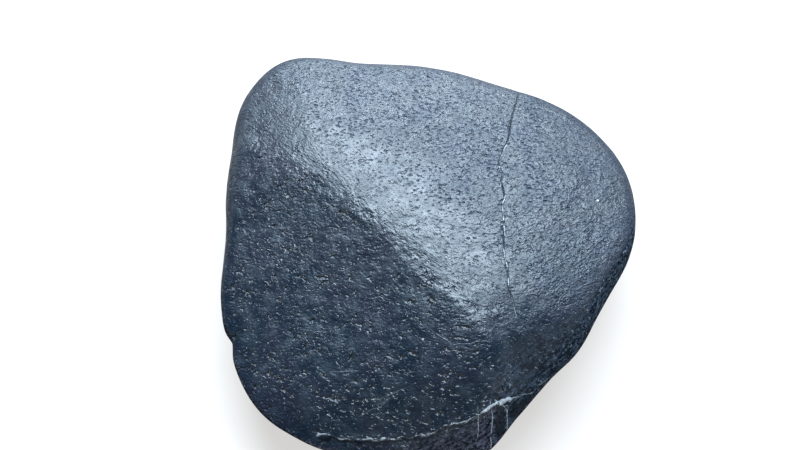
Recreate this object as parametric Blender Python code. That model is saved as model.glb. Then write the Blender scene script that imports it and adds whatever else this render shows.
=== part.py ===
"""A river pebble: one flat stone, rounded by water, about as wide as a palm.

The stone lies on its flattest side. +Z is up, +X is to the right as it is usually seen and +Y is away.
The origin is on the surface that the stone rests on, under the middle of the outline.
"""

import math

import bmesh
import bpy
import numpy as np

MM = 0.001
NAME = "pebble"

# The quad sphere that the stone is shaped from has this many cells along each edge of its cube.
CELLS = 28

# The widest section, seen from above: its radius in mm at each bearing, in degrees from +X towards +Y.
OUTLINE = (
    (8, 36.0),
    (27, 38.3),
    (45, 37.9),
    (68, 35.6),
    (90, 36.9),
    (108, 39.7),
    (124, 46.3),
    (136, 45.5),
    (152, 39.8),
    (172, 35.4),
    (192, 36.0),
    (205, 37.1),
    (222, 38.4),
    (235, 37.5),
    (250, 36.2),
    (268, 35.9),
    (284, 34.8),
    (298, 31.1),
    (312, 29.3),
    (325, 29.8),
    (345, 30.7),
)

# Heights above the resting surface, in mm. The rim, where the stone is widest, rises towards one bearing.
RIM_HEIGHT = 9.5
RIM_RISE = 3.5
RIM_RISE_BEARING = 325
CROWN_HEIGHT = 26.5
# The belly would reach this far below the resting surface, and is flat there instead.
BELLY_WEAR = 1.3

# How square the section is: 2 is an ellipse, and more is squarer.
TOP_SQUARENESS = 4.0
BELLY_SQUARENESS = 2.5

# The worn faces of the top. Each has the bearing that it slopes down to and its slope at the origin, in
# degrees, and in mm its height there and the radius of the large ball that it follows.
BACK_FACE = (75, 7.0, 24.4, 260)
RIGHT_FACE = (0, 10.5, 27.1, 180)
FAR_LEFT_FACE = (165, 24.0, 34.2, 900)
FAR_RIGHT_FACE = (48, 17.0, 30.2, 200)
LEFT_FACE = (214, 20.0, 25.95, 600)
NEAR_FACE = (250, 30.0, 34.7, 200)
# Two steep broken faces under the ledge at the near side.
LEDGE_FACE = (268, 50.0, 53.4, 900)
CHIP_FACE = (305, 56.0, 60.6, 900)
# The near right shoulder is level up to a line and then turns down more and more: the bearing that it turns
# down to, in degrees, and in mm its height, how far out the turn starts and how far past that it slopes by 45
# degrees.
SHOULDER = (312, 27.0, 5.5, 19.5)
# The faces on the two sides of the ridge run into each other softly, and meet along it in a sharper edge.
BRIGHT_SIDE = (BACK_FACE, RIGHT_FACE, FAR_RIGHT_FACE, FAR_LEFT_FACE)
DARK_SIDE = (LEFT_FACE, NEAR_FACE, FAR_LEFT_FACE)
SOFT_BLEND = 1.0
EDGE_BLEND = 0.5
# How softly the top rolls over into the sides.
RIM_BLEND = 0.8

# Low swellings and hollows of the top: x, y, radius and height in mm, with a hollow's height below zero.
SWELLINGS = (
    (15.5, -22.6, 3.6, -1.5),
    (13.5, -2.0, 5.0, -0.3),
    (12.5, 9.0, 5.0, -0.25),
    (24.0, 10.0, 9.0, 0.3),
    (-18.0, 26.0, 9.0, 0.2),
    (0.0, 22.0, 9.0, -0.2),
    (-22.0, -4.0, 8.0, 0.2),
    (-10.0, -14.0, 8.0, -0.2),
    (2.0, -24.0, 6.0, 0.2),
)

# A nick in the outline where a flake broke off: its bearing and half width in degrees, and its depth in mm.
NICK_BEARING = 204
NICK_HALF_WIDTH = 3.0
NICK_DEPTH = 0.8

# The whole surface waves a little: the height of the waves and their length in mm.
WAVE_HEIGHT = 0.06
WAVE_LENGTH = 26.0


def periodic_curve(bearings, values, at):
    """A smooth closed curve through the values at the bearings, read at other bearings, all in degrees."""
    knots = np.concatenate([bearings[-2:] - 360, bearings, bearings[:2] + 360])
    heights = np.concatenate([values[-2:], values, values[:2]])
    slopes = (heights[2:] - heights[:-2]) / (knots[2:] - knots[:-2])
    at = at % 360
    at = np.where(at < bearings[0], at + 360, at)
    cell = np.clip(np.searchsorted(knots, at, side="right") - 1, 1, len(knots) - 3)
    width = knots[cell + 1] - knots[cell]
    t = (at - knots[cell]) / width
    start, end = heights[cell], heights[cell + 1]
    leave, arrive = slopes[cell - 1] * width, slopes[cell] * width
    return (
        (2 * t**3 - 3 * t**2 + 1) * start
        + (t**3 - 2 * t**2 + t) * leave
        + (3 * t**2 - 2 * t**3) * end
        + (t**3 - t**2) * arrive
    )


def outline_radius(bearing):
    bearings, radii = np.array(OUTLINE, float).T
    from_nick = (bearing % 360 - NICK_BEARING) / NICK_HALF_WIDTH
    return periodic_curve(bearings, radii, bearing) - NICK_DEPTH * np.exp(-(from_nick**2))


def smooth_lowest(surfaces, blend):
    """The lowest of several surfaces, with the edges between them rounded."""
    stack = np.array(surfaces)
    lowest = stack.min(axis=0)
    return lowest - blend * np.log(np.exp((lowest - stack) / blend).sum(axis=0))


def face_height(x, y, downhill, slope, height, ball_radius):
    """The height of one worn face over the point x, y."""
    bearing = math.radians(downhill)
    down = x * math.cos(bearing) + y * math.sin(bearing)
    return height - math.tan(math.radians(slope)) * down - (x**2 + y**2) / (2 * ball_radius)


def shoulder_height(x, y, downhill, height, start, to_steep):
    """The height of the shoulder over the point x, y."""
    bearing = math.radians(downhill)
    past = np.maximum(x * math.cos(bearing) + y * math.sin(bearing) - start, 0)
    return height - past**3 / (3 * to_steep**2)


def swelling(x, y):
    total = np.zeros_like(x)
    for middle_x, middle_y, radius, height in SWELLINGS:
        distance = np.hypot(x - middle_x, y - middle_y)
        total += height * np.exp(-((distance / radius) ** 2))
    return total


def rim_height(bearing):
    towards = np.cos(np.radians(bearing - RIM_RISE_BEARING))
    return RIM_HEIGHT + RIM_RISE * np.maximum(towards, 0) ** 2


def top_height(x, y, reach, rim):
    """The upper surface; reach is 0 at the middle of the stone and 1 at its rim."""
    rounding = (1 - np.clip(reach, 0, 1) ** TOP_SQUARENESS) ** 0.5
    dome = rim + (CROWN_HEIGHT - rim) * rounding
    shoulder = shoulder_height(x, y, *SHOULDER)
    bright = smooth_lowest([shoulder, *(face_height(x, y, *face) for face in BRIGHT_SIDE)], SOFT_BLEND)
    dark = smooth_lowest([shoulder, *(face_height(x, y, *face) for face in DARK_SIDE)], SOFT_BLEND)
    broken = [face_height(x, y, *face) for face in (LEDGE_FACE, CHIP_FACE)]
    faces = smooth_lowest([bright, dark, *broken], EDGE_BLEND)
    lowest = smooth_lowest([dome, faces], RIM_BLEND)
    return np.maximum(lowest + swelling(x, y) * rounding, rim)


def belly_height(reach, rim):
    """The underside, which is flat where it was worn flat."""
    rounding = (1 - np.clip(reach, 0, 1) ** BELLY_SQUARENESS) ** 0.5
    return np.maximum(rim - (rim + BELLY_WEAR) * rounding, 0)


def waves(points):
    """A little wave in each direction, out of step with each other, that fades out towards the underside."""
    x, y, z = (points * 2 * math.pi / WAVE_LENGTH).T
    shift = np.stack(
        [
            np.sin(1.3 * y + 0.7 * z) + np.sin(0.8 * z + 2.1),
            np.sin(1.1 * x + 0.9 * z + 1.0) + np.sin(0.9 * x - 0.6 * y),
            np.sin(1.2 * x + 0.5 * y + 4.0) + np.sin(1.4 * y - 0.4 * x),
        ],
        axis=1,
    )
    fade = np.clip(points[:, 2] / RIM_HEIGHT, 0, 1)
    return shift * (WAVE_HEIGHT * fade)[:, None]


def shaped(directions):
    """Points of the stone, in mm, for points of a unit sphere."""
    reach = np.hypot(directions[:, 0], directions[:, 1])
    bearing = np.degrees(np.arctan2(directions[:, 1], directions[:, 0]))
    radius = outline_radius(bearing)
    x = radius * directions[:, 0]
    y = radius * directions[:, 1]
    rim = rim_height(bearing)
    z = np.where(directions[:, 2] >= 0, top_height(x, y, reach, rim), belly_height(reach, rim))
    points = np.stack([x, y, z], axis=1)
    return points + waves(points)


def centred(points):
    """The points, moved level so that the middle of their outline is over the origin."""
    middle = (points.max(axis=0) + points.min(axis=0)) / 2
    middle[2] = 0
    return points - middle


def clear_scene():
    for obj in list(bpy.data.objects):
        bpy.data.objects.remove(obj)


def quad_sphere(cells):
    """A mesh of a unit sphere, made from a cube that is cut into cells."""
    bm = bmesh.new()
    bmesh.ops.create_cube(bm, size=2)
    bmesh.ops.subdivide_edges(bm, edges=bm.edges, cuts=cells - 1, use_grid_fill=True)
    mesh = bpy.data.meshes.new(NAME)
    bm.to_mesh(mesh)
    bm.free()
    points = read_points(mesh)
    points = np.tan(points * math.pi / 4)
    points /= np.linalg.norm(points, axis=1, keepdims=True)
    write_points(mesh, points)
    return mesh


def read_points(mesh):
    points = np.empty(len(mesh.vertices) * 3, np.float32)
    mesh.vertices.foreach_get("co", points)
    return points.reshape(-1, 3).astype(float)


def write_points(mesh, points):
    mesh.vertices.foreach_set("co", points.astype(np.float32).ravel())
    mesh.update()


def stone_material():
    """Dark blue-grey stone with a dull sheen."""
    material = bpy.data.materials.new("dark stone")
    material.use_nodes = True
    shader = material.node_tree.nodes["Principled BSDF"]
    shader.inputs["Base Color"].default_value = (0.03, 0.042, 0.058, 1)
    shader.inputs["Roughness"].default_value = 0.5
    shader.inputs["Metallic"].default_value = 0
    return material


def make_pebble(collection):
    mesh = quad_sphere(CELLS)
    write_points(mesh, centred(shaped(read_points(mesh))) * MM)
    mesh.shade_smooth()
    mesh.materials.append(stone_material())
    pebble = bpy.data.objects.new(NAME, mesh)
    collection.objects.link(pebble)
    return pebble


def main():
    clear_scene()
    collection = bpy.data.collections.new("river pebble")
    bpy.context.scene.collection.children.link(collection)
    make_pebble(collection)


main()
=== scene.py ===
"""A river pebble on a pale surface, in soft window light from behind, with its fine skin, crack and veins."""

import math

import bmesh
import bpy
import numpy as np
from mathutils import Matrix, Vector


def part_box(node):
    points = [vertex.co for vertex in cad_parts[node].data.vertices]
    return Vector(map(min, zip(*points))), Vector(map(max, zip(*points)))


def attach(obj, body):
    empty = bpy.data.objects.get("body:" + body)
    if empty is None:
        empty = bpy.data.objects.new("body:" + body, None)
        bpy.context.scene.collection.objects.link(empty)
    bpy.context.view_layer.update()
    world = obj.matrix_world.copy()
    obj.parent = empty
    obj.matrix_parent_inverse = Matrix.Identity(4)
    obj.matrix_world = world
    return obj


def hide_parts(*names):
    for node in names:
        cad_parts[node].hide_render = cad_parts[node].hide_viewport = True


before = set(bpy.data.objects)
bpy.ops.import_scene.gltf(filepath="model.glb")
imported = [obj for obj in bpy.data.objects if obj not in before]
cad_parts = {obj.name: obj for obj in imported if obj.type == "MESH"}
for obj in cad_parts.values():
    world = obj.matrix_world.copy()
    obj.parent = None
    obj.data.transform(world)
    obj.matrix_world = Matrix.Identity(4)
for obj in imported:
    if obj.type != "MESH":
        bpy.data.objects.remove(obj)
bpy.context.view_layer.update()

MM = 0.001

# The fine skin is made on a quad sphere with this many cells along each edge of its cube.
CELLS = 128

# The widest section, seen from above: its radius in mm at each bearing, in degrees from +X towards +Y.
OUTLINE = (
    (8, 36.0),
    (27, 38.3),
    (45, 37.9),
    (68, 35.6),
    (90, 36.9),
    (108, 39.7),
    (124, 46.3),
    (136, 45.5),
    (152, 39.8),
    (172, 35.4),
    (192, 36.0),
    (205, 37.1),
    (222, 38.4),
    (235, 37.5),
    (250, 36.2),
    (268, 35.9),
    (284, 34.8),
    (298, 31.1),
    (312, 29.3),
    (325, 29.8),
    (345, 30.7),
)

# Heights above the resting surface, in mm. The rim, where the stone is widest, rises towards one bearing.
RIM_HEIGHT = 9.5
RIM_RISE = 3.5
RIM_RISE_BEARING = 325
CROWN_HEIGHT = 26.5
# The belly would reach this far below the resting surface, and is flat there instead.
BELLY_WEAR = 1.3

# How square the section is: 2 is an ellipse, and more is squarer.
TOP_SQUARENESS = 4.0
BELLY_SQUARENESS = 2.5

# The worn faces of the top. Each has the bearing that it slopes down to and its slope at the origin, in
# degrees, and in mm its height there and the radius of the large ball that it follows.
BACK_FACE = (75, 7.0, 24.4, 260)
RIGHT_FACE = (0, 10.5, 27.1, 180)
FAR_LEFT_FACE = (165, 24.0, 34.2, 900)
FAR_RIGHT_FACE = (48, 17.0, 30.2, 200)
LEFT_FACE = (214, 20.0, 25.95, 600)
NEAR_FACE = (250, 30.0, 34.7, 200)
# Two steep broken faces under the ledge at the near side.
LEDGE_FACE = (268, 50.0, 53.4, 900)
CHIP_FACE = (305, 56.0, 60.6, 900)
# The near right shoulder is level up to a line and then turns down more and more: the bearing that it turns
# down to, in degrees, and in mm its height, how far out the turn starts and how far past that it slopes by 45
# degrees.
SHOULDER = (312, 27.0, 5.5, 19.5)
# The faces on the two sides of the ridge run into each other softly, and meet along it in a sharper edge.
BRIGHT_SIDE = (BACK_FACE, RIGHT_FACE, FAR_RIGHT_FACE, FAR_LEFT_FACE)
DARK_SIDE = (LEFT_FACE, NEAR_FACE, FAR_LEFT_FACE)
SOFT_BLEND = 1.0
EDGE_BLEND = 0.2
# How softly the top rolls over into the sides, and how softly the steepest faces run out at the rim.
RIM_BLEND = 0.8
FOOT_BLEND = 0.5

# Low swellings and hollows of the top: x, y, radius and height in mm, with a hollow's height below zero.
SWELLINGS = (
    (15.5, -22.6, 3.6, -1.5),
    (13.5, -2.0, 5.0, -0.3),
    (12.5, 9.0, 5.0, -0.25),
    (24.0, 10.0, 9.0, 0.3),
    (-18.0, 26.0, 9.0, 0.2),
    (0.0, 22.0, 9.0, -0.2),
    (-22.0, -4.0, 8.0, 0.2),
    (-10.0, -14.0, 8.0, -0.2),
    (2.0, -24.0, 6.0, 0.2),
)

# A nick in the outline where a flake broke off: its bearing and half width in degrees, and its depth in mm.
NICK_BEARING = 204
NICK_HALF_WIDTH = 3.0
NICK_DEPTH = 0.8

# The whole surface waves a little: the height of the waves and their length in mm.
WAVE_HEIGHT = 0.06
WAVE_LENGTH = 26.0

# Lines on the top, as points in mm from above. The first is the edge between the bright face and the dark
# one.
RIDGE = (
    (-31.1, 18.4),
    (-23.7, 12.9),
    (-16.8, 7.5),
    (-13.4, 5.0),
    (-9.2, 1.5),
    (-5.9, -2.7),
    (-1.9, -7.4),
    (6.0, -14.4),
    (9.9, -18.4),
    (11.4, -21.2),
)
CRACK = (
    (15.9, 29.2),
    (15.7, 27.5),
    (15.0, 25.0),
    (14.0, 20.8),
    (13.3, 17.3),
    (12.3, 14.3),
    (11.5, 12.0),
    (11.5, 11.0),
    (12.1, 9.6),
    (11.7, 8.2),
    (12.2, 5.2),
    (11.7, 3.6),
    (11.9, -0.8),
    (11.6, -4.6),
    (12.2, -8.0),
    (12.2, -11.0),
    (12.7, -13.0),
    (13.0, -14.6),
)
# Where the crack is filled with white mineral.
SEAMS = (
    ((13.0, 16.0), (12.3, 14.3), (11.5, 12.0), (11.5, 11.0), (12.1, 9.6), (11.8, 8.3)),
    ((12.0, 4.6), (11.7, 3.6), (11.9, -0.8)),
    ((11.7, -5.2), (12.2, -8.0), (12.2, -11.0), (12.7, -13.0), (13.0, -14.6)),
)
VEIN = (
    (6.0, -31.2),
    (8.0, -30.1),
    (9.8, -29.0),
    (12.1, -27.9),
    (14.1, -26.9),
    (16.2, -25.9),
    (18.0, -24.4),
    (20.3, -22.4),
    (22.9, -20.0),
)
VEIN_BRANCHES = (
    ((10.8, -28.7), (11.5, -28.9), (12.0, -29.4), (12.0, -30.2), (12.1, -31.4)),
    ((9.3, -29.7), (9.5, -30.9), (9.4, -32.6), (9.5, -33.8)),
    ((7.2, -30.6), (7.3, -31.6), (7.2, -32.6)),
)
LEDGE = (
    (-17.5, -32.2),
    (-13.2, -32.9),
    (-10.0, -33.2),
    (-4.8, -33.4),
    (-1.3, -33.2),
    (1.2, -32.3),
    (6.0, -31.2),
)
SCRATCHES = (
    ((-26.8, 5.2), (-25.1, 4.1), (-23.7, 3.2), (-22.8, 3.6)),
    ((-9.3, -27.0), (-8.8, -27.7), (-7.5, -27.3), (-5.4, -26.7)),
    ((-10.6, -29.4), (-9.6, -29.0), (-8.5, -28.9), (-7.2, -28.0)),
    ((-14.5, -23.0), (-12.8, -23.1)),
    ((3.5, -20.6), (6.2, -20.4)),
    ((0.6, -18.6), (2.3, -19.8)),
    ((25.3, 16.4), (27.0, 16.0), (28.6, 15.5), (29.8, 14.6), (31.2, 13.2), (32.5, 12.2)),
)
# The small glassy broken faces under the vein.
CHIPS = (((10.8, -29.8), (10.8, -31.6)), ((13.4, -28.9), (15.6, -27.4)))
# One white grain on the right of the top, and half its width, in mm.
GRAIN = (28.1, 6.1)
GRAIN_RADIUS = 0.22

# Parts of the stone, by how far the normal points up: where each one starts and where it is whole.
ON_TOP = (0.1, 0.6)
ON_SIDES = (0.88, 0.50)
UNDERNEATH = (0.3, 0.05)
# Sides that face away have this share of the near side's dust and painted light. The rest grows with how far
# the normal points to the near side: where it starts and where it is whole.
FAR_SIDE_DUST_AND_LIGHT = 0.35
FACING_NEAR = (-0.25, 0.35)
# The dull band at the rim, as shares of the way out from the middle.
RIM_BAND = (0.90, 0.975)
# Underneath, each line counts as this much farther away, in mm, so that none is drawn there.
LINES_AWAY = 9
# Except underneath, the skin stays this far inside the box of the solid stone, in mm.
ROOM = 0.01

# Zones of the top, by the distance from the ridge in mm: where each one starts and where it is whole. The
# distance is above zero on the bright face and below zero on the dark one.
BRIGHT_ZONE = (-1.0, 0.8)
DARK_ZONE = (1.0, -1.5)
RIDGE_ZONE_NEAR = (-2.5, 0.5)
RIDGE_ZONE_FAR = (14.0, 5.0)
ROUGHER_ZONE = (3.0, 16.0)
# The bluer patches, which also paint the blue light of the bright face, grow over this zone.
BLUE_ZONE = (4.0, 16.0)
# Zones by place, in mm along X or Y: where each one starts and where it is whole.
# The sides' dust and painted light turn from the left colour to the palest one, and from that to the right
# one.
DUST_AND_LIGHT_GROWS_X = (-27, -17)
DUST_AND_LIGHT_FADES_X = (6, 14)
SHOULDER_X = (6, 16)
SHOULDER_Y = (5, -12)
NEAR_Y = (-1, -24)
FAR_Y = (17, 27)

# Relief of the mesh, in mm. Each wave has its height, its length and the seed of its noise.
SKIN_WAVES = ((0.08, 9.0, 10), (0.025, 2.8, 20))
DARK_WAVE = (0.035, 2.2, 25)
SKIN_WAVE_LAYERS = 2
# The furrow along the crack, and the lip along the far side of the ledge and the vein: where it starts and is
# whole, and the noise that its height changes by.
FURROW_DEPTH = 0.06
FURROW_HALF_WIDTH = 0.5
LIP_HEIGHT = 0.10
LIP_HALF_WIDTH = 0.8
LIP_EDGE = (-0.9, 0.3)
LIP_NOISE_SIZE = 1.4
LIP_NOISE_SEED = 70

# Colours of the stone, as linear red, green, blue and alpha.
DARK_SKIN = (0.006, 0.014, 0.026, 1)
GREY_SKIN = (0.011, 0.016, 0.030, 1)
LIGHT_SKIN = (0.022, 0.034, 0.050, 1)
# Blue patches of the bright face, which also paint the blue light that it shows.
BLUE_SKIN_AND_LIGHT = (0.008, 0.018, 0.043, 1)
DULL_SKIN = (0.009, 0.014, 0.022, 1)
# Dust of the sides, which is also painted light: the room light and sheen of the near side, palest in its
# middle.
LEFT_DUST_AND_LIGHT = (0.034, 0.040, 0.056, 1)
MIDDLE_DUST_AND_LIGHT = (0.132, 0.130, 0.192, 1)
RIGHT_DUST_AND_LIGHT = (0.052, 0.078, 0.114, 1)
# Pale specks, which on the sides are painted glints of light.
SPECK_AND_GLINT_COLOR = (0.26, 0.31, 0.38, 1)
CHIP_COLOR = (0.008, 0.013, 0.020, 1)
SHADOW_COLOR = (0.003, 0.005, 0.008, 1)
WHITE_MINERAL = (0.60, 0.68, 0.76, 1)
SHEEN_TINT = (0.84, 0.93, 1.0, 1)

# Patterns of noise: the size of the lumps in mm, the number of finer layers and how strong these are. The
# far ones are for the bright face far from the ridge.
MOTTLE = (8.0, 3, 0.5)
PATCHES = (2.4, 3, 0.5)
BLUE_PATCHES = (5.0, 3, 0.5)
# Streaks of the sides' dust and painted light.
DUST_AND_LIGHT_STREAKS = (0.55, 3, 0.6)
# Pale specks, and painted glints on the sides.
SPECKS_AND_GLINTS = (0.5, 2, 0.6)
LINE_GAPS = (1.3, 3, 0.5)
LEDGE_GAPS = (1.1, 2, 0.6)
PEEL = (0.42, 2, 0.6)
FAR_PEEL = (0.34, 2, 0.65)
LUMPS = (1.6, 3, 0.55)
FAR_LUMPS = (1.3, 3, 0.55)
SWELLS = (3.4, 2, 0.5)
WIDE_PITS = (0.88, 1, 0.45)
SMALL_PITS = (0.42, 1, 0.5)
CROWDING = (5.0, 2, 0.5)
FLAKE_BENDS = (3.0, 2, 0.5)
# The value of the noise, which is 0.5 on average, at which a pattern starts to show and at which it is whole.
MOTTLE_SHOWS = (0.38, 0.62)
PATCHES_SHOW = (0.45, 0.70)
PATCHES_DULL = (0.3, 0.7)
BLUE_SHOWS = (0.38, 0.62)
# The streaks of the sides' dust and painted light show between these values.
DUST_AND_LIGHT_SHOW = (0.42, 0.60)
SEAM_SHOWS = (0.41, 0.61)
VEIN_SHOWS = (0.3, 0.6)
BRANCH_SHOWS = (0.36, 0.6)
LEDGE_SHOWS = (0.41, 0.57)
CROWDING_SHOWS = (0.35, 0.65)
# The same for the specks and painted glints, where they start at one value on top and at another on the
# sides.
SPECK_AND_GLINT_START = (0.62, 0.55)
SPECK_AND_GLINT_WHOLE = 0.76
# The grain is drawn out: its turn in degrees about the Z axis, and how many times as long as wide it is.
LEVEL_GRAIN = (0, 1.5)
DIAGONAL_GRAIN = (42, 2.0)
RISING_GRAIN = (-28, 1.7)
WIDE_PIT_GRAIN = (8, 1.3)
# The streaks of dust and painted light on the sides.
DUST_AND_LIGHT_GRAIN = (-42, 2.5)

# How strongly each colour covers the ones under it. Pairs are the least and the most.
PATCH_COVER = (0, 0.7)
BLUE_COVER = (0.25, 0.65)
# The sides' dust and painted light.
DUST_AND_LIGHT_COVER = 0.85
CHIP_COVER = 0.85
SEAM_COVER = (0.03, 0.62)
BRANCH_COVER = (0.1, 0.8)
LEDGE_COVER = (0.06, 0.8)
SCRATCH_COVER = 0.12
GRAIN_COVER = 0.6
# The most that the specks and painted glints cover, on top and on the sides.
SPECK_AND_GLINT_COVER = (0.2, 0.85)
# The least and the most that the white vein covers, each where it is thin and where it is thick.
VEIN_LEAST_COVER = (0.0, 0.6)
VEIN_MOST_COVER = (0.6, 1)

# Drawn lines, in mm: half the width and the soft edge.
CRACK_LINE = (0.05, 0.07)
CRACK_GROOVE = (0.09, 0.13)
SEAM_LINE = (0.06, 0.06)
BRANCH_LINE = (0.06, 0.07)
SCRATCH_LINE = (0.05, 0.05)
LEDGE_LINE = (0.07, 0.11)
LEDGE_SHADOW_LINE = (0.12, 0.14)
CHIP_LINE = (0.75, 0.25)
# The vein's half width where it is thin and where it is thick, and its soft edge.
VEIN_HALF_WIDTH = (0.03, 0.21)
VEIN_EDGE = 0.08
# How far along the vein it gets thick, and thin again: where it is still thin and where it is thick.
VEIN_THICKENS = (1.2, 2.6)
VEIN_THINS = (8.4, 6.6)
# The shadow runs this far below the ledge.
LEDGE_SHADOW_BELOW = 0.40
# Lines end this far past their last points, and are whole up to the second distance.
LINE_ENDS = (1.5, 0.7)
# How the lines bend: the length of a bend and how far it goes sideways.
CRACK_BEND = (1.8, 0.14)
VEIN_BEND = (1.6, 0.35)
BRANCH_BEND = (1.4, 0.15)
LEDGE_BEND = (1.6, 0.5)
# The number of finer layers in the noise that lines bend by, and how strong these are.
BEND_LAYERS = (1, 0.5)
# A spot starts at the first of these shares of its radius and is whole at the second.
SPOT_EDGE = (1.3, 0.5)

# Relief that the material draws: how many mm it rises where its noise rises by 1, and below zero for pits.
# The values are for the dark face, for the bright face beside the ridge and, where that differs, far from it.
PEEL_HEIGHT = (0.10, 0.20, 0.24)
LUMP_HEIGHT = (0.28, 0.13, 0.42)
SWELL_HEIGHT = (0.12, 0.40)
WIDE_PIT_HEIGHT = (-3.3, -0.9)
SMALL_PIT_HEIGHT = (-2.4, -0.5, -1.2)
# Pits are where the noise is below these values, on the dark face and on the bright one. The change makes
# them fewer in some places and more in others.
WIDE_PIT_LEVEL = (0.385, 0.35)
SMALL_PIT_LEVEL = (0.345, 0.42)
CROWDING_CHANGE = (-0.03, 0.03)
# Thin flakes run along the ridge: their height, how far from the ridge their middle is, how far from there
# they start and are whole, how much they bend and how close together they are.
FLAKE_HEIGHT = -0.12
FLAKE_MIDDLE = 0.2
FLAKE_ZONE = (2.2, 0.6)
FLAKE_BENDING = 6.0
FLAKES_PER_MM = 0.8
# The groove of the crack, and how far the white mineral stands up.
CRACK_HEIGHT = -0.18
WHITE_HEIGHT = 0.10

# Roughness where the patches are smoothest and where they are dullest, on the dark and on the bright face.
SMOOTH_PATCH = (0.30, 0.37)
DULL_PATCH = (0.42, 0.53)
# What the sides and the chips add to it.
SIDE_ROUGHNESS = 0.28
CHIP_ROUGHNESS = -0.25
# How strongly the top mirrors the light, what the chips add to it, and how many times that some zones have.
TOP_SHEEN = 0.80
CHIP_SHEEN = 0.08
NEAR_SHEEN = 0.76
SHOULDER_SHEEN = 0.78
FAR_SHEEN = 1.14
RIM_SHEEN = 0.3

# The pale surface, which glows a little so that it is as pale as in the photograph.
FLOOR_SIZE = 3
FLOOR_COLOR = (0.25, 0.25, 0.25, 1)
FLOOR_ROUGHNESS = 0.9
FLOOR_SHEEN = 0.1
FLOOR_GLOW_COLOR = (1, 0.985, 0.97, 1)
FLOOR_GLOW = 0.64

# The soft window light, a metre away: azimuth 0 is straight behind the stone, and 90 is on its right.
WINDOW_AZIMUTH = math.radians(6)
WINDOW_ELEVATION = math.radians(49)
WINDOW_SIZE = (1.0, 0.95)
WINDOW_POWER = 46.5
WINDOW_COLOR = (0.83, 0.93, 1.0)
# The faint light of the room.
ROOM_COLOR = (0.76, 0.88, 1.0, 1)
ROOM_STRENGTH = 0.075

# The photograph's frame and its viewing angle.
CAMERA_TARGET = Vector((-5.13, 5.61, 10.0)) * MM
CAMERA_DISTANCE = 232 * MM
CAMERA_ELEVATION = math.radians(66)
CAMERA_LENS = 60
CAMERA_CLIP_START = 0.01


def periodic_curve(bearings, values, at):
    """A smooth closed curve through the values at the bearings, read at other bearings, all in degrees."""
    knots = np.concatenate([bearings[-2:] - 360, bearings, bearings[:2] + 360])
    heights = np.concatenate([values[-2:], values, values[:2]])
    slopes = (heights[2:] - heights[:-2]) / (knots[2:] - knots[:-2])
    at = at % 360
    at = np.where(at < bearings[0], at + 360, at)
    cell = np.clip(np.searchsorted(knots, at, side="right") - 1, 1, len(knots) - 3)
    width = knots[cell + 1] - knots[cell]
    t = (at - knots[cell]) / width
    start, end = heights[cell], heights[cell + 1]
    leave, arrive = slopes[cell - 1] * width, slopes[cell] * width
    return (
        (2 * t**3 - 3 * t**2 + 1) * start
        + (t**3 - 2 * t**2 + t) * leave
        + (3 * t**2 - 2 * t**3) * end
        + (t**3 - t**2) * arrive
    )


def outline_radius(bearing):
    bearings, radii = np.array(OUTLINE, float).T
    from_nick = (bearing % 360 - NICK_BEARING) / NICK_HALF_WIDTH
    return periodic_curve(bearings, radii, bearing) - NICK_DEPTH * np.exp(-(from_nick**2))


def smooth_lowest(surfaces, blend):
    """The lowest of several surfaces, with the edges between them rounded."""
    stack = np.array(surfaces)
    lowest = stack.min(axis=0)
    return lowest - blend * np.log(np.exp((lowest - stack) / blend).sum(axis=0))


def face_height(x, y, downhill, slope, height, ball_radius):
    """The height of one worn face over the point x, y."""
    bearing = math.radians(downhill)
    down = x * math.cos(bearing) + y * math.sin(bearing)
    return height - math.tan(math.radians(slope)) * down - (x**2 + y**2) / (2 * ball_radius)


def shoulder_height(x, y, downhill, height, start, to_steep):
    """The height of the shoulder over the point x, y."""
    bearing = math.radians(downhill)
    past = np.maximum(x * math.cos(bearing) + y * math.sin(bearing) - start, 0)
    return height - past**3 / (3 * to_steep**2)


def swelling(x, y):
    total = np.zeros_like(x)
    for middle_x, middle_y, radius, height in SWELLINGS:
        distance = np.hypot(x - middle_x, y - middle_y)
        total += height * np.exp(-((distance / radius) ** 2))
    return total


def rim_height(bearing):
    towards = np.cos(np.radians(bearing - RIM_RISE_BEARING))
    return RIM_HEIGHT + RIM_RISE * np.maximum(towards, 0) ** 2


def top_height(x, y, reach, rim):
    """The upper surface; reach is 0 at the middle of the stone and 1 at its rim."""
    rounding = (1 - np.clip(reach, 0, 1) ** TOP_SQUARENESS) ** 0.5
    dome = rim + (CROWN_HEIGHT - rim) * rounding
    shoulder = shoulder_height(x, y, *SHOULDER)
    bright = smooth_lowest([shoulder, *(face_height(x, y, *face) for face in BRIGHT_SIDE)], SOFT_BLEND)
    dark = smooth_lowest([shoulder, *(face_height(x, y, *face) for face in DARK_SIDE)], SOFT_BLEND)
    broken = [face_height(x, y, *face) for face in (LEDGE_FACE, CHIP_FACE)]
    faces = smooth_lowest([bright, dark, *broken], EDGE_BLEND)
    lowest = smooth_lowest([dome, faces], RIM_BLEND)
    above_rim = lowest + swelling(x, y) * rounding - rim
    return rim + FOOT_BLEND * np.logaddexp(0, above_rim / FOOT_BLEND)


def belly_height(reach, rim):
    """The underside, which is flat where it was worn flat."""
    rounding = (1 - np.clip(reach, 0, 1) ** BELLY_SQUARENESS) ** 0.5
    return np.maximum(rim - (rim + BELLY_WEAR) * rounding, 0)


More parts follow.
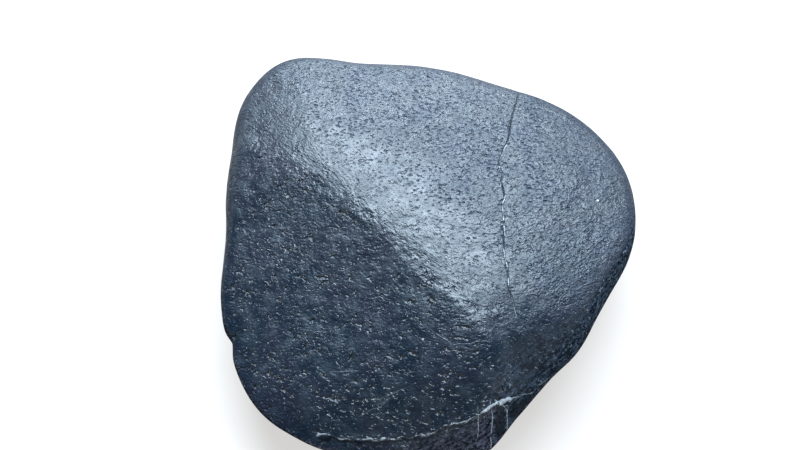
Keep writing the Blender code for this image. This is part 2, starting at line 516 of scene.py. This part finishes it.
def waves(points):
    """A little wave in each direction, out of step with each other, that fades out towards the underside."""
    x, y, z = (points * 2 * math.pi / WAVE_LENGTH).T
    shift = np.stack(
        [
            np.sin(1.3 * y + 0.7 * z) + np.sin(0.8 * z + 2.1),
            np.sin(1.1 * x + 0.9 * z + 1.0) + np.sin(0.9 * x - 0.6 * y),
            np.sin(1.2 * x + 0.5 * y + 4.0) + np.sin(1.4 * y - 0.4 * x),
        ],
        axis=1,
    )
    fade = np.clip(points[:, 2] / RIM_HEIGHT, 0, 1)
    return shift * (WAVE_HEIGHT * fade)[:, None]


def shaped(directions):
    """Points of the stone, in mm, for points of a unit sphere."""
    reach = np.hypot(directions[:, 0], directions[:, 1])
    bearing = np.degrees(np.arctan2(directions[:, 1], directions[:, 0]))
    radius = outline_radius(bearing)
    x = radius * directions[:, 0]
    y = radius * directions[:, 1]
    rim = rim_height(bearing)
    z = np.where(directions[:, 2] >= 0, top_height(x, y, reach, rim), belly_height(reach, rim))
    points = np.stack([x, y, z], axis=1)
    return points + waves(points)


def centred(points):
    """The points, moved level so that the middle of their outline is over the origin."""
    middle = (points.max(axis=0) + points.min(axis=0)) / 2
    middle[2] = 0
    return points - middle


def read_points(mesh):
    points = np.empty(len(mesh.vertices) * 3, np.float32)
    mesh.vertices.foreach_get("co", points)
    return points.reshape(-1, 3).astype(float)


def write_points(mesh, points):
    mesh.vertices.foreach_set("co", points.astype(np.float32).ravel())
    mesh.update()


def quad_sphere(cells):
    """A mesh of a unit sphere, made from a cube that is cut into cells."""
    bm = bmesh.new()
    bmesh.ops.create_cube(bm, size=2)
    bmesh.ops.subdivide_edges(bm, edges=bm.edges, cuts=cells - 1, use_grid_fill=True)
    mesh = bpy.data.meshes.new("pebble_skin")
    bm.to_mesh(mesh)
    bm.free()
    points = np.tan(read_points(mesh) * math.pi / 4)
    points /= np.linalg.norm(points, axis=1, keepdims=True)
    write_points(mesh, points)
    return mesh


def lattice_value(ix, iy, iz, seed):
    """A repeatable value between -1 and 1 for each corner of a lattice."""
    mixed = (ix * 374761393 + iy * 668265263 + iz * 2147483647 + seed * 1274126177) & 0xFFFFFFFF
    mixed = ((mixed ^ (mixed >> 13)) * 1103515245) & 0xFFFFFFFF
    mixed = ((mixed ^ (mixed >> 16)) * 2654435761) & 0xFFFFFFFF
    return (mixed ^ (mixed >> 15)).astype(float) / 0x7FFFFFFF - 1


def noise(points, wavelength, seed):
    """Smooth noise between about -1 and 1 over points in mm."""
    scaled = points / wavelength
    cell = np.floor(scaled).astype(np.int64)
    t = scaled - cell
    t = t * t * t * (t * (t * 6 - 15) + 10)
    total = np.zeros(len(points))
    for corner in range(8):
        step = np.array([corner & 1, corner >> 1 & 1, corner >> 2 & 1])
        weight = np.where(step, t, 1 - t).prod(axis=1)
        total += weight * lattice_value(*(cell + step).T, seed)
    return total


def layered_noise(points, wavelength, seed, layers):
    """Noise with finer and fainter layers added."""
    total = np.zeros(len(points))
    for layer in range(layers):
        total += noise(points, wavelength / 2**layer, seed + layer) / 2**layer
    return total


def line_fields(points, lines):
    """For each point how far it is from the nearest line, how far to the left of it and how far along it."""
    xy = points[:, :2]
    nearest = np.full(len(xy), np.inf)
    left = np.zeros(len(xy))
    along = np.zeros(len(xy))
    for line in lines:
        done = 0.0
        for start, end in zip(line[:-1], line[1:]):
            start, end = np.array(start, float), np.array(end, float)
            length = np.hypot(*(end - start))
            step = (end - start) / length
            offset = xy - start
            forward = offset @ step
            sideways = step[0] * offset[:, 1] - step[1] * offset[:, 0]
            distance = np.hypot(forward - np.clip(forward, 0, length), sideways)
            closer = distance < nearest
            nearest = np.where(closer, distance, nearest)
            left = np.where(closer, sideways, left)
            along = np.where(closer, done + forward, along)
            done += length
    return nearest, left, along


def smooth_step(low, high, value):
    """0 at low and 1 at high, with a smooth passage between them."""
    t = np.clip((value - low) / (high - low), 0, 1)
    return t * t * (3 - 2 * t)


def skin_wave(points, height, length, seed):
    return height * layered_noise(points, length, seed, SKIN_WAVE_LAYERS)


def near_line(distance, half_width):
    """1 on a line and less and less beside it."""
    return np.exp(-((distance / half_width) ** 2))


def skin_relief(points, normals):
    """How far the skin stands in or out from the smooth stone, in mm, at each point."""
    on_top = smooth_step(*ON_TOP, normals[:, 2])
    _, from_ridge, _ = line_fields(points, (RIDGE,))
    from_crack, _, _ = line_fields(points, (CRACK,))
    from_ledge, left_of_ledge, _ = line_fields(points, (LEDGE, VEIN))
    relief = sum(skin_wave(points, *wave) for wave in SKIN_WAVES)
    relief += smooth_step(*DARK_ZONE, from_ridge) * on_top * skin_wave(points, *DARK_WAVE)
    relief -= FURROW_DEPTH * near_line(from_crack, FURROW_HALF_WIDTH) * on_top
    lip = LIP_HEIGHT * (1 + noise(points, LIP_NOISE_SIZE, LIP_NOISE_SEED))
    lip *= near_line(from_ledge, LIP_HALF_WIDTH) * smooth_step(*LIP_EDGE, left_of_ledge)
    return relief + lip * on_top


def store(mesh, name, values):
    mesh.attributes.new(name, "FLOAT", "POINT").data.foreach_set("value", values.astype(np.float32))


def store_parts(mesh, reach, normals):
    """Stores how far each point belongs to the dusty sides, partly painted light, and to the band at the rim.
    """
    facing_near = smooth_step(*FACING_NEAR, -normals[:, 1])
    # How much each point has of the sides' dullness, dust and painted light.
    dust_and_light_share = FAR_SIDE_DUST_AND_LIGHT + (1 - FAR_SIDE_DUST_AND_LIGHT) * facing_near
    store(mesh, "side", smooth_step(*ON_SIDES, normals[:, 2]) * dust_and_light_share)
    store(mesh, "rim", smooth_step(*RIM_BAND, reach))


def store_lines(mesh, points, normals):
    """Stores the distances in mm that the material draws its lines by."""
    _, from_ridge, _ = line_fields(points, (RIDGE,))
    store(mesh, "from_ridge", from_ridge)
    _, _, along_vein = line_fields(points, (VEIN,))
    store(mesh, "along_vein", along_vein)
    away = LINES_AWAY * smooth_step(*UNDERNEATH, normals[:, 2])
    groups = {
        "crack": (CRACK,),
        "seam": SEAMS,
        "vein": (VEIN,),
        "branch": VEIN_BRANCHES,
        "ledge": (LEDGE,),
        "scratch": SCRATCHES,
        "chip": CHIPS,
    }
    for name, lines in groups.items():
        nearest, left, _ = line_fields(points, lines)
        store(mesh, name + "_near", nearest + away)
        store(mesh, name + "_left", left)


def read_normals(mesh):
    normals = np.empty(len(mesh.vertices) * 3, np.float32)
    mesh.vertex_normals.foreach_get("vector", normals)
    return normals.reshape(-1, 3).astype(float)


def fitted_inside(points, low, high):
    """The points, pressed a little where they would go past the corners of the solid stone's box."""
    low, high = np.array(low) / MM + ROOM, np.array(high) / MM - ROOM
    low[2] = 0
    first, last = points.min(axis=0), points.max(axis=0)
    size = np.minimum(high - low, last - first)
    start = np.clip(first, low, high - size)
    return (points - first) / (last - first) * size + start


def pebble_skin(low, high):
    """The stone's mesh in metres, inside the box that has the corners low and high."""
    mesh = quad_sphere(CELLS)
    directions = read_points(mesh)
    points = centred(shaped(directions))
    write_points(mesh, points)
    normals = read_normals(mesh)
    store_parts(mesh, np.hypot(directions[:, 0], directions[:, 1]), normals)
    points = points + normals * skin_relief(points, normals)[:, None]
    points[:, 2] = np.maximum(points[:, 2], 0)
    points = fitted_inside(points, low, high)
    write_points(mesh, points * MM)
    store_lines(mesh, points, normals)
    mesh.shade_smooth()
    return mesh


class Nodes:
    """Short calls for building a material's nodes."""

    def __init__(self, material):
        material.use_nodes = True
        self.tree = material.node_tree
        self.shader = self.tree.nodes["Principled BSDF"]

    def feed(self, node, inputs):
        """Links each input to an output, or sets it to a value."""
        for name, value in inputs.items():
            if isinstance(value, bpy.types.NodeSocket):
                self.tree.links.new(value, node.inputs[name])
            else:
                node.inputs[name].default_value = value

    def add(self, kind, inputs=None, **settings):
        node = self.tree.nodes.new(kind)
        for name, value in settings.items():
            setattr(node, name, value)
        self.feed(node, inputs or {})
        return node

    def math(self, operation, first, second=0.0, third=0.0):
        return self.add("ShaderNodeMath", {0: first, 1: second, 2: third}, operation=operation).outputs[0]

    def times(self, first, second):
        return self.math("MULTIPLY", first, second)

    def plus(self, total, amount, factor):
        """The total with factor times the amount added."""
        return self.math("MULTIPLY_ADD", amount, factor, total)

    def highest(self, first, *others):
        for other in others:
            first = self.math("MAXIMUM", first, other)
        return first

    def vector_math(self, operation, first, second):
        return self.add("ShaderNodeVectorMath", {0: first, 1: second}, operation=operation).outputs

    def span(self, value, low, high, to_low=0.0, to_high=1.0):
        """Value carried smoothly from one range to another."""
        inputs = {"Value": value, "From Min": low, "From Max": high, "To Min": to_low, "To Max": to_high}
        return self.add("ShaderNodeMapRange", inputs, interpolation_type="SMOOTHSTEP").outputs["Result"]

    def ease(self, amount, first, last):
        """First where amount is 0 and last where it is 1, with a smooth passage between them."""
        return self.span(amount, 0, 1, first, last)

    def attribute(self, name):
        return self.add("ShaderNodeAttribute", attribute_name=name).outputs["Fac"]

    def noise(self, vector, size, detail, roughness):
        """Noise whose lumps are about size across, in mm."""
        inputs = {"Vector": vector, "Scale": 1 / (size * MM), "Detail": detail, "Roughness": roughness}
        return self.add("ShaderNodeTexNoise", inputs).outputs[0]

    def mix(self, amount, first, second):
        """The first colour where amount is 0 and the second where it is 1."""
        return self.add("ShaderNodeMix", {0: amount, 6: first, 7: second}, data_type="RGBA").outputs[2]

    def blend(self, amount, first, second):
        """First where amount is 0 and second where it is 1, for plain values."""
        return self.add("ShaderNodeMix", {0: amount, 2: first, 3: second}, data_type="FLOAT").outputs[0]


class StoneNodes(Nodes):
    """The nodes of the stone's material, with the places and patterns that several of its parts use."""

    def __init__(self, material):
        super().__init__(material)
        self.where = self.add("ShaderNodeTexCoord").outputs["Object"]
        self.axes = self.add("ShaderNodeSeparateXYZ", {"Vector": self.where}).outputs
        self.from_ridge = self.attribute("from_ridge")
        self.side = self.attribute("side")
        self.bright = self.span(self.from_ridge, *BRIGHT_ZONE)
        self.rougher = self.span(self.from_ridge, *ROUGHER_ZONE)
        self.patches = self.noise(self.where, *PATCHES)
        self.gaps = self.noise(self.where, *LINE_GAPS)
        self.crowding = self.span(self.noise(self.where, *CROWDING), *CROWDING_SHOWS, *CROWDING_CHANGE)
        self.crack_bend = self.wiggle(*CRACK_BEND)
        self.ledge_bend = self.wiggle(*LEDGE_BEND)
        self.chip = self.line("chip", *CHIP_LINE)

    def by_face(self, dark, bright, bright_far=None):
        """One value on the dark face and one on the bright face, which can change far from the ridge."""
        if bright_far is not None:
            bright = self.ease(self.rougher, bright, bright_far)
        return self.blend(self.bright, dark, bright)

    def zone(self, axis, start, whole, before=0.0, within=1.0):
        """One value before a place along X or Y, in mm, and another past it."""
        return self.span(self.axes[axis], start * MM, whole * MM, before, within)

    def drawn_out(self, turn, length):
        """The place, turned by turn degrees and shortened, so that patterns come out length times as long."""
        turned = self.add("ShaderNodeVectorRotate", {"Vector": self.where, "Angle": math.radians(turn)})
        return self.vector_math("MULTIPLY", turned.outputs[0], (1 / length, 1, 1))[0]

    def wiggle(self, size, amount):
        """A sideways shift in mm that makes a line bend: size is the length of its bends, in mm."""
        return self.span(self.noise(self.where, size, *BEND_LAYERS), 0.0, 1.0, -amount, amount)

    def line(self, name, width, soft, shift=0.0):
        """1 on a line that the mesh stores and 0 beside it: half its width and its soft edge are in mm."""
        beside = self.math("ABSOLUTE", self.math("ADD", self.attribute(name + "_left"), shift))
        core = self.span(self.math("SUBTRACT", width, beside), self.times(soft, -1.0), soft)
        return self.times(core, self.span(self.attribute(name + "_near"), *LINE_ENDS))

    def spot(self, middle, radius):
        """1 on a spot that is round from above and 0 beside it: its middle and radius are in mm."""
        level = self.vector_math("MULTIPLY", self.where, (1, 1, 0))[0]
        middle = (middle[0] * MM, middle[1] * MM, 0)
        away = self.vector_math("DISTANCE", level, middle)["Value"]
        return self.span(away, SPOT_EDGE[0] * radius * MM, SPOT_EDGE[1] * radius * MM)


def peel(n):
    """The fine grain of the skin, drawn out one way beside the ridge and another way far from it."""
    level = n.noise(n.drawn_out(*LEVEL_GRAIN), *PEEL)
    diagonal = n.noise(n.drawn_out(*DIAGONAL_GRAIN), *PEEL)
    rising = n.noise(n.drawn_out(*RISING_GRAIN), *FAR_PEEL)
    beside_ridge = n.times(n.span(n.from_ridge, *RIDGE_ZONE_FAR), n.span(n.from_ridge, *RIDGE_ZONE_NEAR))
    return n.blend(n.times(n.rougher, n.bright), n.blend(beside_ridge, level, diagonal), rising)


def lumps(n):
    """The pressed lumps of the skin, which are drawn out up to the right far from the ridge."""
    far = n.noise(n.drawn_out(*RISING_GRAIN), *FAR_LUMPS)
    return n.blend(n.rougher, n.noise(n.where, *LUMPS), far)


def pits(n, grain, level):
    """Pits of no set shape: how far each point lies below the skin, and 0 between the pits."""
    depth = n.math("SUBTRACT", n.math("ADD", n.crowding, n.by_face(*level)), grain)
    return n.math("MAXIMUM", depth, 0.0)


def flakes(n):
    """Thin broken steps that run along the ridge."""
    across = n.plus(n.from_ridge, n.noise(n.where, *FLAKE_BENDS), FLAKE_BENDING)
    steps = n.math("FRACT", n.times(across, FLAKES_PER_MM))
    from_middle = n.math("ABSOLUTE", n.math("SUBTRACT", n.from_ridge, FLAKE_MIDDLE))
    return n.times(steps, n.span(from_middle, *FLAKE_ZONE))


def skin_height(n):
    """The fine relief of the skin, in mm."""
    swells = n.math("SUBTRACT", n.noise(n.where, *SWELLS), 0.5)
    wide_pits = pits(n, n.noise(n.drawn_out(*WIDE_PIT_GRAIN), *WIDE_PITS), WIDE_PIT_LEVEL)
    small_pits = pits(n, n.noise(n.drawn_out(*LEVEL_GRAIN), *SMALL_PITS), SMALL_PIT_LEVEL)
    height = n.times(peel(n), n.by_face(*PEEL_HEIGHT))
    height = n.plus(height, lumps(n), n.by_face(*LUMP_HEIGHT))
    height = n.plus(height, wide_pits, n.by_face(*WIDE_PIT_HEIGHT))
    height = n.plus(height, swells, n.by_face(*SWELL_HEIGHT))
    height = n.plus(height, small_pits, n.by_face(*SMALL_PIT_HEIGHT))
    return n.plus(height, flakes(n), FLAKE_HEIGHT)


def skin_color(n):
    """Almost black blue-grey, mottled, with lighter patches, and with bluer ones, partly painted blue light,
    on the bright face.
    """
    color = n.mix(n.span(n.noise(n.where, *MOTTLE), *MOTTLE_SHOWS), DARK_SKIN, GREY_SKIN)
    color = n.mix(n.span(n.patches, *PATCHES_SHOW, *PATCH_COVER), color, LIGHT_SKIN)
    # Bluer patches, partly painted blue light of the bright face.
    blue = n.span(n.noise(n.where, *BLUE_PATCHES), *BLUE_SHOWS, *BLUE_COVER)
    return n.mix(n.times(n.span(n.from_ridge, *BLUE_ZONE), blue), color, BLUE_SKIN_AND_LIGHT)


def side_dust_and_light_color(n):
    """The dull sides, with short streaks of dust and painted light that are palest in the middle of the near
    side.
    """
    dust_and_light = n.mix(n.zone("X", *DUST_AND_LIGHT_GROWS_X), LEFT_DUST_AND_LIGHT, MIDDLE_DUST_AND_LIGHT)
    dust_and_light = n.mix(n.zone("X", *DUST_AND_LIGHT_FADES_X), dust_and_light, RIGHT_DUST_AND_LIGHT)
    return n.mix(n.span(n.noise(n.drawn_out(*DUST_AND_LIGHT_GRAIN), *DUST_AND_LIGHT_STREAKS), *DUST_AND_LIGHT_SHOW), DULL_SKIN, dust_and_light)


def specks_and_glints(n):
    """Small pale specks, with more and brighter ones on the sides that are painted glints."""
    start = n.ease(n.side, *SPECK_AND_GLINT_START)
    return n.span(n.noise(n.where, *SPECKS_AND_GLINTS), start, SPECK_AND_GLINT_WHOLE, 0, n.ease(n.side, *SPECK_AND_GLINT_COVER))


def vein(n):
    """How white the vein is, which is thick along a stretch near its left end."""
    along = n.attribute("along_vein")
    thick = n.times(n.span(along, *VEIN_THICKENS), n.span(along, *VEIN_THINS))
    line = n.line("vein", n.ease(thick, *VEIN_HALF_WIDTH), VEIN_EDGE, n.wiggle(*VEIN_BEND))
    least, most = n.ease(thick, *VEIN_LEAST_COVER), n.ease(thick, *VEIN_MOST_COVER)
    return n.times(line, n.span(n.gaps, *VEIN_SHOWS, least, most))


def white_lines(n):
    """How white the seams, the vein, its branches, the ledge, the scratches and the grain are."""
    seam = n.times(n.line("seam", *SEAM_LINE, n.crack_bend), n.span(n.gaps, *SEAM_SHOWS, *SEAM_COVER))
    branch = n.line("branch", *BRANCH_LINE, n.wiggle(*BRANCH_BEND))
    branch = n.times(branch, n.span(n.gaps, *BRANCH_SHOWS, *BRANCH_COVER))
    ledge = n.line("ledge", *LEDGE_LINE, n.ledge_bend)
    ledge = n.times(ledge, n.span(n.noise(n.where, *LEDGE_GAPS), *LEDGE_SHOWS, *LEDGE_COVER))
    scratch = n.times(n.line("scratch", *SCRATCH_LINE, n.crack_bend), SCRATCH_COVER)
    grain = n.times(n.spot(GRAIN, GRAIN_RADIUS), GRAIN_COVER)
    return n.highest(seam, vein(n), branch, ledge, scratch, grain)


def stone_color(n, white):
    crack = n.line("crack", *CRACK_LINE, n.crack_bend)
    below_ledge = n.math("ADD", n.ledge_bend, LEDGE_SHADOW_BELOW)
    # The sides' dust, which also paints their light.
    color = n.mix(n.times(n.side, DUST_AND_LIGHT_COVER), skin_color(n), side_dust_and_light_color(n))
    # Pale specks and painted glints.
    color = n.mix(specks_and_glints(n), color, SPECK_AND_GLINT_COLOR)
    color = n.mix(n.times(n.chip, CHIP_COVER), color, CHIP_COLOR)
    color = n.mix(crack, color, SHADOW_COLOR)
    color = n.mix(n.line("ledge", *LEDGE_SHADOW_LINE, below_ledge), color, SHADOW_COLOR)
    return n.mix(white, color, WHITE_MINERAL)


def stone_height(n, white):
    """All the relief that the material draws, in mm."""
    crack = n.line("crack", *CRACK_GROOVE, n.crack_bend)
    height = n.plus(skin_height(n), crack, CRACK_HEIGHT)
    return n.plus(height, white, WHITE_HEIGHT)


def stone_roughness(n):
    """Satin on top with smoother patches, dull on the sides and glassy on the chips."""
    smooth, dull = n.by_face(*SMOOTH_PATCH), n.by_face(*DULL_PATCH)
    roughness = n.plus(n.span(n.patches, *PATCHES_DULL, smooth, dull), n.side, SIDE_ROUGHNESS)
    return n.plus(roughness, n.chip, CHIP_ROUGHNESS)


def stone_sheen(n):
    """How strongly the skin mirrors light: most at the far side of the top, and not at all on the sides."""
    shoulder = n.times(n.zone("Y", *SHOULDER_Y), n.zone("X", *SHOULDER_X))
    sheen = n.plus(n.ease(n.side, TOP_SHEEN, 0.0), n.chip, CHIP_SHEEN)
    sheen = n.times(sheen, n.zone("Y", *NEAR_Y, 1.0, NEAR_SHEEN))
    sheen = n.times(sheen, n.ease(shoulder, 1.0, SHOULDER_SHEEN))
    sheen = n.times(sheen, n.zone("Y", *FAR_Y, 1.0, FAR_SHEEN))
    return n.times(sheen, n.ease(n.attribute("rim"), 1.0, RIM_SHEEN))


def stone_material():
    """Dark blue-grey, fine-grained stone with a satin skin, full of tiny pits, and duller on its sides."""
    material = bpy.data.materials.new("pebble_stone")
    n = StoneNodes(material)
    white = white_lines(n)
    bump = n.add("ShaderNodeBump", {"Height": stone_height(n, white), "Distance": MM, "Strength": 1.0})
    looks = {
        "Base Color": stone_color(n, white),
        "Roughness": stone_roughness(n),
        "Metallic": 0,
        "Specular IOR Level": stone_sheen(n),
        "Specular Tint": SHEEN_TINT,
        "Normal": bump.outputs[0],
    }
    n.feed(n.shader, looks)
    return material


def make_pebble():
    low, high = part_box("pebble")
    pebble = bpy.data.objects.new("pebble_stone", pebble_skin(low, high))
    bpy.context.scene.collection.objects.link(pebble)
    pebble.data.materials.append(stone_material())
    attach(pebble, "root")
    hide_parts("pebble")


def floor_material():
    material = bpy.data.materials.new("pale_surface")
    n = Nodes(material)
    looks = {
        "Base Color": FLOOR_COLOR,
        "Roughness": FLOOR_ROUGHNESS,
        "Specular IOR Level": FLOOR_SHEEN,
        "Emission Color": FLOOR_GLOW_COLOR,
        "Emission Strength": FLOOR_GLOW,
    }
    n.feed(n.shader, looks)
    return material


def make_floor():
    bpy.ops.mesh.primitive_plane_add(size=FLOOR_SIZE)
    floor = bpy.context.object
    floor.name = "floor"
    floor.data.materials.append(floor_material())


def make_window():
    """A soft light a metre away."""
    light = bpy.data.lights.new("window", "AREA")
    light.shape = "RECTANGLE"
    light.size, light.size_y = WINDOW_SIZE
    light.energy = WINDOW_POWER
    light.color = WINDOW_COLOR
    right, back = math.sin(WINDOW_AZIMUTH), math.cos(WINDOW_AZIMUTH)
    level, up = math.cos(WINDOW_ELEVATION), math.sin(WINDOW_ELEVATION)
    away = Vector((right * level, back * level, up))
    window = bpy.data.objects.new("window", light)
    window.location = away
    window.rotation_mode = "QUATERNION"
    window.rotation_quaternion = away.to_track_quat("Z", "Y")
    bpy.context.scene.collection.objects.link(window)


def make_room_light():
    world = bpy.data.worlds.new("room")
    world.use_nodes = True
    background = world.node_tree.nodes["Background"]
    background.inputs["Color"].default_value = ROOM_COLOR
    background.inputs["Strength"].default_value = ROOM_STRENGTH
    bpy.context.scene.world = world


def make_camera():
    back = Vector((0, -math.cos(CAMERA_ELEVATION), math.sin(CAMERA_ELEVATION)))
    camera = bpy.data.objects.new("camera", bpy.data.cameras.new("camera"))
    camera.location = CAMERA_TARGET + CAMERA_DISTANCE * back
    camera.rotation_mode = "QUATERNION"
    camera.rotation_quaternion = back.to_track_quat("Z", "Y")
    camera.data.lens = CAMERA_LENS
    camera.data.clip_start = CAMERA_CLIP_START
    bpy.context.scene.collection.objects.link(camera)
    bpy.context.scene.camera = camera


make_pebble()
make_floor()
make_window()
make_room_light()
make_camera()
bpy.context.scene.view_settings.view_transform = "Standard"
